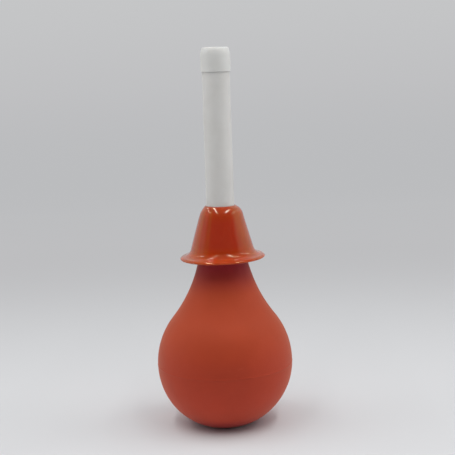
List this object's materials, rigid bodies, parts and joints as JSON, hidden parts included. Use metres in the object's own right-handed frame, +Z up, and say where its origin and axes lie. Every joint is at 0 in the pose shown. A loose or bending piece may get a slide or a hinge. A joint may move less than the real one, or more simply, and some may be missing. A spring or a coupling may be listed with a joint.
{
  "type": "squeeze bulb douche",
  "caption": "Pear-shaped rubber squeeze bulb on a flat foot, with a push-in nozzle tube, a sliding bell-shaped guard with a flared brim, and a perforated spray cap on the tip.",
  "frame": {"origin": "centre of the flat foot, on the surface that the bulb stands on", "axes": "+Z up along the axis of the bulb and the nozzle; X and Y are alike, because the object is round"},
  "size_m": [0.0882, 0.0882, 0.2432],
  "materials": {
    "bulb_rubber": "matte soft rubber, orange-red",
    "nozzle_plastic": "semi-matte white polyethylene",
    "guard_vinyl": "glossy dip-moulded soft vinyl, orange",
    "cap_plastic": "satin white plastic"
  },
  "bodies": {
    "bulb": {"squeeze_bulb": "bulb_rubber"},
    "nozzle": {"nozzle_tube": "nozzle_plastic"},
    "guard": {"bell_guard": "guard_vinyl"},
    "cap": {"spray_cap": "cap_plastic"}
  },
  "joints": [
    {"name": "nozzle_pull_out", "type": "slide", "parent": "bulb", "child": "nozzle", "axis": [0, 0, 1], "range_m": [0, 0.024]},
    {"name": "guard_slide", "type": "slide", "parent": "nozzle", "child": "guard", "axis": [0, 0, 1], "range_m": [0, 0.084]},
    {"name": "cap_pull_off", "type": "slide", "parent": "nozzle", "child": "cap", "axis": [0, 0, 1], "range_m": [0, 0.018]}
  ]
}
